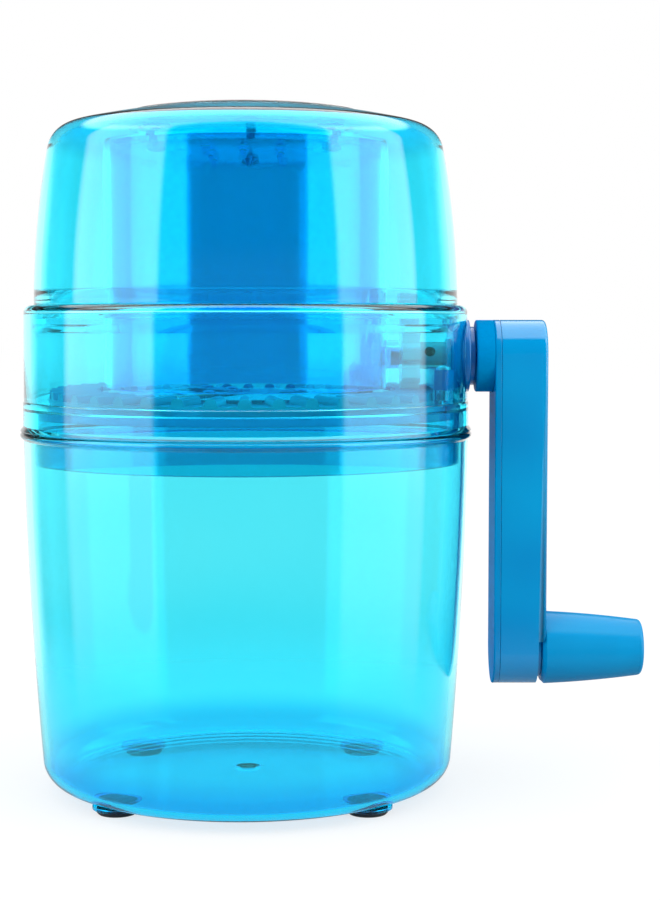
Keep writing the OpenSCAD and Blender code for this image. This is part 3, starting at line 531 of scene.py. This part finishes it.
def shaft_fork(name, x0, x1, inner, outer, axis_z, count=61):
    """A fork open downwards. Its outside is a circle; its inside is a half circle over the shaft, carried on
    by two straight sides, at radius inner / sin t, down to where they meet the outside."""
    end = np.pi - np.arcsin(inner / outer)
    t = np.linspace(-end, end, count)
    hollow = inner / np.where(np.abs(t) > np.pi / 2, np.sin(np.abs(t)), 1)
    x = np.array([x0, x1, x1, x0])[None] + 0 * t[:, None]
    r = np.stack([hollow, hollow, outer + 0 * t, outer + 0 * t], -1)
    rings = np.stack([x, r * np.sin(t)[:, None], axis_z + r * np.cos(t)[:, None]], -1)
    return closed_mesh(name, rings, grid_faces(count, 4)[:-1].reshape(-1, 4))


chamber_outline = rounded([
    (tube_in, chamber_foot_z, 0.3), (tube_out, chamber_foot_z, 0.3), (tube_out, chamber_top_z, 0.2),
    (tube_in, chamber_top_z, 0.2)])
tube = turned("tube", chamber_outline, 256)
fork = shaft_fork("fork", fork_x0, fork_x1, shaft_hole_r, fork_r, fork_z)
chamber = joined("ice_chamber_tube", tube, fork)
deep_tube_blue = clear_plastic(
    "clear_deep_blue", (0.02, 0.69, 0.965), (0.015, 0.66, 0.955), roughness=0.02, ior=1.12, coat=2.1)
chamber.data.materials.append(deep_tube_blue)
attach(chamber, "housing")
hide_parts("ice_chamber")

deck = turned("chamber_deck", rounded([
    (deck_in, deck_high_z - 1.5, 0.2), (deck_bend_r, deck_under_z), (deck_r, deck_under_z, 0.2),
    (deck_r, deck_top_z, 0.2), (deck_bend_r, deck_top_z), (deck_in, deck_high_z, 0.3)]))
ledge = turned("ledge", rounded([
    (ledge_r, ledge_z, 0.2), (ledge_in, ledge_z, 0.2), (ledge_in, ledge_z - 1.6, 0.2),
    (ledge_r, ledge_z - 4)]))
deck = joined("chamber_deck_and_ledge", deck, ledge)
faint_blue = clear_plastic(
    "faint_clear_blue", (0.6, 0.95, 0.99), (0.55, 0.94, 0.99), roughness=0.02, ior=1.06)
deck.data.materials.append(faint_blue)
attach(deck, "housing")

# ---------------------------------------------------------------------------
# Retaining ring: a ring snapped into the skirt from below, which the rotor's rim rides on. It is moulded in a
# milky blue, which shows through the clear skirt as a soft band.

ring_in, ring_out, ring_step_r = 54, 63.75, 61.6
ring_under_z, ring_step_z, ring_top_z = 114.82, 116.92, 117.45


def milky_plastic(name, tint, deeper, roughness, wave, see_through, ior=1.5, gloss=0, gloss_from=None):
    """Translucent moulded plastic, milky rather than clear: a share of the light goes through it softly, and
    the rest is scattered back in its own colour, which wanders a little as the plastic flowed. Gloss is the
    share of a smooth skin on it, which may be there only past a place along x, in millimetres."""
    material, tree, skin = fresh_finish(name)
    flow = rippled(tree, wave, peel=0.04)
    wired(tree, skin, {
        "Base Color": toned(tree, flow["Cloud"], deeper, tint, 0.3, 0.7),
        "Roughness": ranged(tree, flow["Cloud"], roughness - 0.03, roughness + 0.05),
        "IOR": ior, "Transmission Weight": see_through, "Specular IOR Level": 0 if gloss else 0.5,
        "Coat Weight": gloss, "Coat Roughness": roughness, "Coat IOR": 1.55,
        "Normal": raised(tree, flow["Height"], strength=0.06, distance=0.0005)})
    if gloss_from:
        fade_from, fade_to = gloss_from / 1000, (gloss_from + 0.4) / 1000
        skin_there = eased(tree, place_along(tree, "X"), fade_from, fade_to, 0, gloss)
        wired(tree, skin, {"Coat Weight": skin_there})
    return material


ring = turned("retaining_ring", rounded([
    (ring_in, ring_under_z, 0.3), (ring_out, ring_under_z, 0.3), (ring_out, ring_top_z, 0.2),
    (ring_step_r, ring_top_z, 0.2), (ring_step_r, ring_step_z, 0.2), (ring_in, ring_step_z, 0.3)]))
ring_blue = milky_plastic(
    "milky_ring_blue", (0.01, 0.66, 0.92), (0.005, 0.6, 0.88), roughness=0.2, wave=60, see_through=0.6)
ring.data.materials.append(ring_blue)
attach(ring, "housing")
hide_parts("retainer_ring")

# ---------------------------------------------------------------------------
# Bush and bracket: deeper blue mouldings that carry the shaft, the bush through the housing's wall and the
# bracket on its two posts under the pinion's sleeve, each post with a plain steel screw.

flange_r, bush_r, nose_r = 12, 11.2, 9
flange_x, wall_in_x, bush_x, nose_x = 62.9, 64.6, 68.5, 70.1


def plain_steel(name, colour, roughness, marks_size, stretch=(1, 1, 1), metallic=1):
    """Steel with fine marks, which a stretch makes into brush lines; they vary its tone, its roughness and
    its relief."""
    material, tree, skin = fresh_finish(name)
    marks = noise(tree, marks_size, 5, stretch)
    wired(tree, skin, {
        "Base Color": toned(tree, marks, [0.86 * c for c in colour], [min(1, 1.08 * c) for c in colour]),
        "Metallic": metallic, "Roughness": ranged(tree, marks, roughness - 0.07, roughness + 0.1),
        "Normal": raised(tree, marks, strength=0.15, distance=0.00005)})
    return material


bush = turned("shaft_bush_turned", rounded([
    (shaft_hole_r, flange_x, 0.2), (flange_r, flange_x, 0.3), (flange_r, wall_in_x - 0.02, 0.2),
    (bush_r, wall_in_x + 0.02, 0.1), (bush_r, bush_x, 0.6), (nose_r, bush_x, 0.2), (nose_r, nose_x, 0.4),
    (shaft_hole_r, nose_x, 0.2)]), 128, "x", (0, 0, shaft_z))
bearing_blue = milky_plastic(
    "milky_bearing_blue", (0.003, 0.24, 0.66), (0.001, 0.2, 0.6), roughness=0.2, wave=60, see_through=0.3)
bush.data.materials.append(bearing_blue)
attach(bush, "housing")
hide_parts("shaft_bush")
finish_node("bearing_bracket", bearing_blue)
screw_steel = plain_steel("plain_screw_steel", (0.62, 0.63, 0.65), roughness=0.34, marks_size=900)
finish_node("bracket_screws", screw_steel)

# ---------------------------------------------------------------------------
# Rotor: the crown gear, moulded in half clear blue plastic, with a brushed steel disc on it. Three bent steel
# blades are held down on the disc by six small screws.

gear_blue = milky_plastic(
    "moulded_gear_blue", (0.05, 0.80, 0.97), (0.04, 0.76, 0.95), roughness=0.2, wave=60, see_through=0.45,
    ior=1.18)
finish_node("crown_gear", gear_blue)
blade_steel = plain_steel(
    "brushed_blade_steel", (0.68, 0.69, 0.71), roughness=0.27, marks_size=300, stretch=(1, 14, 1))
finish_node("blade_disc", blade_steel)
finish_node("blades", blade_steel)
finish_node("blade_screws", screw_steel)

# ---------------------------------------------------------------------------
# Drive: a steel shaft with a pinion and its long sleeve, moulded in natural plastic that lets light through.
# A black set screw holds them on the shaft, and a white thrust washer runs between the sleeve and the bush.


def white_moulding(name, colour, roughness):
    """White moulded plastic, a little uneven in tone, with a fine moulded grain."""
    material, tree, skin = fresh_finish(name)
    flow = rippled(tree, wave=120, peel=0.5)
    wired(tree, skin, {
        "Base Color": toned(tree, flow["Cloud"], [0.94 * c for c in colour], colour), "Roughness": roughness,
        "Normal": raised(tree, flow["Height"], strength=0.1, distance=0.0002)})
    return material


finish_node("crank_shaft", screw_steel)
gear_natural = milky_plastic(
    "natural_gear_plastic", (0.6, 0.97, 0.99), (0.56, 0.96, 0.98), roughness=0.2, wave=120, see_through=0.6,
    ior=1.06)
finish_node("pinion", gear_natural)
finish_node("thrust_washer", white_moulding("white_gear_plastic", (0.93, 0.94, 0.95), 0.4))
finish_node("pinion_screw", pad_rubber("black_screw_finish", (0.003, 0.003, 0.004), 0.85))

# ---------------------------------------------------------------------------
# Crank arm: a hollow arm in two translucent blue halves. The cover carries the hub, the outer half has soft
# edges and a round recess at its foot, where a short collar holds the knob's spindle.

knob_z = 42.8
arm_w = 11.1
outer_wall_t = 1.9
cover_x, cover_seam_x, outer_seam_x, outer_face_x = 75.9, 77.85, 77.95, 92
outer_in_w, outer_under_x = arm_w - outer_wall_t, outer_face_x - 2
rib_x, rib_w, rib_in_w = 79.25, 8.95, 7.2
recess_r, recess_x, recess_past_x = 11.6, 89.6, 95
collar_r, collar_x, plate_r, plate_x = 5.9, 84, 9, 87.6
collar_end_r, collar_end_x = 9.15, 90.7
hub_hole_r, hub_r, hub_x0, hub_x1 = 3.1, 11.05, 70.45, 75.85
# The arm's face towards the housing is matt, and its gloss starts from here.
gloss_from_x = 76.2


def arm_shape(name, section, count=64):
    """A bar with half-round ends. Each point (x, w) of a closed section gives one outline at x: two half
    circles of radius w, one about the shaft's height and one about the knob's, joined by straight sides. A
    stretch of the section that stays at w = 0 gets no faces."""
    t = np.linspace(0, np.pi, count)
    y, z = np.concatenate([np.cos(t), -np.cos(t)]), np.concatenate([np.sin(t), -np.sin(t)])
    middle = np.repeat((shaft_z, knob_z), count)
    x, w = section[:, 0], section[:, 1]
    rings = np.stack([x + 0 * y[:, None], w * y[:, None], middle[:, None] + w * z[:, None]], -1)
    cells = grid_faces(2 * count, len(section))[:, (w > 0) | (np.roll(w, -1) > 0)]
    return closed_mesh(name, rings, cells.reshape(-1, 4), 30)


# The points between a side's two ends keep its shading flat beside the small roundings.
outer_half = arm_shape("outer_half", rounded([
    (outer_seam_x, outer_in_w, 0.15), (outer_seam_x, arm_w, 0.15), (78.6, arm_w), (89.5, arm_w),
    (outer_face_x, arm_w, 2), (outer_face_x, 8.7), (outer_face_x, 0), (outer_under_x, 0),
    (outer_under_x, outer_in_w, 0.6)], 12))
outer_half = less(outer_half, drill("recess", recess_r, recess_x, recess_past_x, knob_z, 128))
plate_end_x = recess_x + 0.05
collar = turned("collar", rounded([
    (shaft_hole_r, collar_x, 0.2), (collar_r, collar_x, 0.3), (collar_r, plate_x, 0.3), (plate_r, plate_x),
    (plate_r, plate_end_x), (collar_end_r, plate_end_x), (collar_end_r, collar_end_x, 0.3),
    (shaft_hole_r, collar_end_x, 0.2)]), 96, "x", (0, 0, knob_z))
arm = joined("crank_arm_outer", outer_half, collar)
arm_blue = milky_plastic(
    "milky_arm_blue", (0.0, 0.45, 0.87), (0.0, 0.34, 0.75), roughness=0.06, wave=30, see_through=0.2,
    ior=1.03, gloss=1, gloss_from=gloss_from_x)
arm.data.materials.append(arm_blue)
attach(arm, "crank")
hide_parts("crank_arm")

cover_plate = arm_shape("cover_plate", rounded([
    (cover_x, 0), (cover_x, 10.4), (cover_x, arm_w, 0.5), (76.7, arm_w), (77.5, arm_w),
    (cover_seam_x, arm_w, 0.15), (cover_seam_x, rib_w, 0.1), (rib_x, rib_w, 0.2), (rib_x, rib_in_w, 0.2),
    (cover_seam_x, rib_in_w, 0.2), (cover_seam_x, 0)]))
hub = turned("hub", rounded([
    (hub_hole_r, hub_x0, 0.2), (hub_r, hub_x0, 0.5), (hub_r, hub_x1), (hub_hole_r, hub_x1)]),
    96, "x", (0, 0, shaft_z))
cover = joined("crank_arm_cover", cover_plate, hub)
# The cover's blue is a darker copy of the arm's blue: painted shade on the hub, which sits at the less lit
# top of the arm.
cover_painted_shade_blue = milky_plastic(
    "milky_cover_painted_shade_blue", (0.0, 0.38, 0.79), (0.0, 0.3, 0.69), roughness=0.06, wave=30, see_through=0.2,
    ior=1.03, gloss=1, gloss_from=gloss_from_x)
cover.data.materials.append(cover_painted_shade_blue)
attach(cover, "crank")
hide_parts("arm_cover")
finish_node("crank_screw", screw_steel)

# ---------------------------------------------------------------------------
# Knob: a solid translucent blue grip, thick at the arm and slimmer at its rounded end. It turns on a steel
# spindle, which a washer-shaped clip keeps in the arm.

knob_x, knob_length = 91, 32
knob_r, knob_taper, knob_belly = 11.3, 2.85, 1.6
knob_face_r, knob_round_r = 10.1, 1.5
spindle_hole_x = 115.2

# The grip's radius falls by a straight taper plus a belly of b u (1 - u), u being the share of its length.
u = np.linspace(1.2, 30, 30) / knob_length
grip_side = np.stack([knob_r - knob_taper * u + knob_belly * u * (1 - u), knob_x + knob_length * u], -1)
round_in, round_x = grip_side[-1] - (knob_round_r, 0)
knob_outline = np.concatenate([
    [[shaft_hole_r, knob_x], [knob_face_r, knob_x]], grip_side,
    arc((round_in, round_x), knob_round_r, 12, 88, 8),
    [[3.5, 122.93], [0, knob_x + knob_length], [0, spindle_hole_x], [shaft_hole_r, spindle_hole_x]]])
knob = turned("crank_knob", knob_outline, 128, "x", (0, 0, knob_z))
grip_blue = milky_plastic(
    "milky_knob_blue", (0.0, 0.38, 0.76), (0.0, 0.33, 0.70), roughness=0.2, wave=40, see_through=0.2,
    ior=1.03, gloss=0.35)
knob.data.materials.append(grip_blue)
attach(knob, "knob")
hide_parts("knob")
finish_node("knob_spindle", screw_steel)
finish_node("knob_clip", screw_steel)

# ---------------------------------------------------------------------------
# Lid: a clear dome whose wall leans in on a long curve, rounds over and ends in a gently crowned top with a
# fine raised ring. Three posts under the top carry the deeper blue sleeve and the plate with claws that
# presses on the ice.

lid_foot_z, lid_foot_r, lid_wall_t = 149, 64.8, 2
lid_round_at, lid_round_r = (51.5564, 194.93), 8.9
crown_r, crown_centre_z, crown_edge_r = 235, -25.22, 53
lid_foot = [[62.8, 149.05], [64.6, 149.05], [64.78, 149.25]]
lid_spigot = [[61.3, 149.4], [61.2, 147.0], [62.6, 147.0], [62.8, 147.2]]
raised_ring = [[36.1, 207.22], [35.9, 207.36], [35.6, 207.4], [33.4, 207.78], [33.1, 207.74], [32.9, 207.6]]
sleeve_foot_z, sleeve_top_z = 151.9, 199.86
sleeve_under_z = sleeve_top_z - (tube_out - tube_in)
hanger_r, hanger_hole_r = 4, 1.35
hanger_foot_z, hanger_hole_z, hanger_top_z = 199.9, 203.3, 205.2
hanger_circle_r = 30


def lid_wall_r(z):
    """The lid's outer radius u above its foot: the foot's radius less 0.011 u and u squared over 570."""
    rise = z - lid_foot_z
    return lid_foot_r - 0.011 * rise - rise ** 2 / 570


def crown(radius, out, into, count):
    """Points of the crowned top between two distances r from the axis. It is part of a ball about a centre on
    the axis: the height is the centre's plus the square root of radius squared less r squared."""
    r = np.linspace(out, into, count)
    return np.stack([r, crown_centre_z + np.sqrt(radius ** 2 - r ** 2)], -1)


lid_outline = np.concatenate([
    lid_foot, along(lid_wall_r, 150, 196.2), arc(lid_round_at, lid_round_r, 10.5, 76.5, 24),
    crown(crown_r, crown_edge_r, 36.3, 12), raised_ring, crown(crown_r, 32.5, 0, 24),
    crown(crown_r - lid_wall_t, 0, crown_edge_r, 36), arc(lid_round_at, lid_round_r - lid_wall_t, 76, 11, 20),
    along(lambda z: lid_wall_r(z) - lid_wall_t, 196, 153), lid_spigot])
lid = turned("clear_lid", lid_outline, 256)
lid_blue = clear_plastic(
    "clear_lid_blue", (0.15, 0.86, 0.97), (0.125, 0.835, 0.96), roughness=0.01,
    shade_and_thickness_zones=[(194, 203, (0.015, 0.6, 0.88))])
lid.data.materials.append(lid_blue)
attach(lid, "lid")
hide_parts("lid_dome")

hanger_outline = rounded([
    (hanger_hole_r, hanger_foot_z, 0.2), (hanger_r, hanger_foot_z, 0.4), (hanger_r, hanger_top_z),
    (0, hanger_top_z), (0, hanger_hole_z), (hanger_hole_r, hanger_hole_z)])
hanger_places = [(hanger_circle_r * np.cos(a), hanger_circle_r * np.sin(a), 0)
                 for a in np.radians([90, 210, 330])]
hangers = [turned("hanger", hanger_outline, 48, centre=place) for place in hanger_places]
posts_under_top = joined("sleeve_posts", *hangers)
posts_under_top.data.materials.append(faint_blue)
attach(posts_under_top, "lid")

sleeve = turned("lid_sleeve_tube", rounded([
    (tube_in, sleeve_foot_z, 0.2), (tube_out, sleeve_foot_z, 0.2), (tube_out, sleeve_top_z, 2.0),
    (0, sleeve_top_z), (0, sleeve_under_z), (tube_in, sleeve_under_z, 0.5)]), 256)
sleeve.data.materials.append(deep_tube_blue)
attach(sleeve, "lid")
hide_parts("lid_sleeve")
finish_node("ice_grip", faint_blue)
dull_zinc = plain_steel("dull_zinc", (0.8, 0.81, 0.83), roughness=0.5, marks_size=900, metallic=0.15)
finish_node("grip_screws", dull_zinc)
